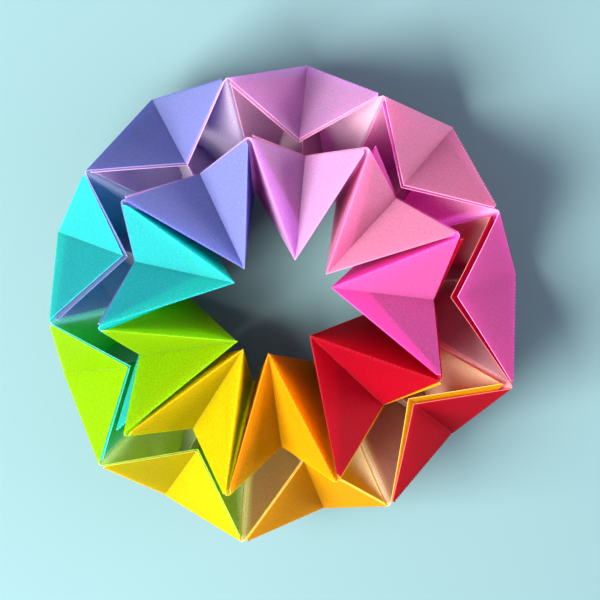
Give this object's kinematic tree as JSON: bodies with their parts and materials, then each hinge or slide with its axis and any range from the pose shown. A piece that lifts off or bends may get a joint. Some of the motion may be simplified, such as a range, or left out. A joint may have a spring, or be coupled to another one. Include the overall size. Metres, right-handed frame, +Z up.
{
  "type": "folded paper star ring",
  "caption": "Ring-shaped folded paper star: square sheets, coloured on one face and white on the other, nest into pleated pockets around an open middle.",
  "frame": {"origin": "middle of the ring's bounding box, at the level of the surface it stands on", "axes": "+Z up along the ring's axis, out of the pocket mouths; +X and +Y across the ring"},
  "size_m": [0.0822, 0.0822, 0.0368],
  "materials": {
    "cyan_paper": "matte coloured face, white back",
    "periwinkle_paper": "matte coloured face, white back",
    "lilac_paper": "matte coloured face, white back",
    "pink_paper": "matte coloured face, white back",
    "magenta_paper": "matte coloured face, white back",
    "crimson_paper": "matte coloured face, white back",
    "orange_paper": "matte coloured face, white back",
    "yellow_paper": "matte coloured face, white back",
    "green_paper": "matte coloured face, white back"
  },
  "bodies": {
    "root": {"cyan_sheet": "cyan_paper", "periwinkle_sheet": "periwinkle_paper", "lilac_sheet": "lilac_paper", "pink_sheet": "pink_paper", "magenta_sheet": "magenta_paper", "crimson_sheet": "crimson_paper", "orange_sheet": "orange_paper", "yellow_sheet": "yellow_paper", "green_sheet": "green_paper"}
  },
  "joints": []
}
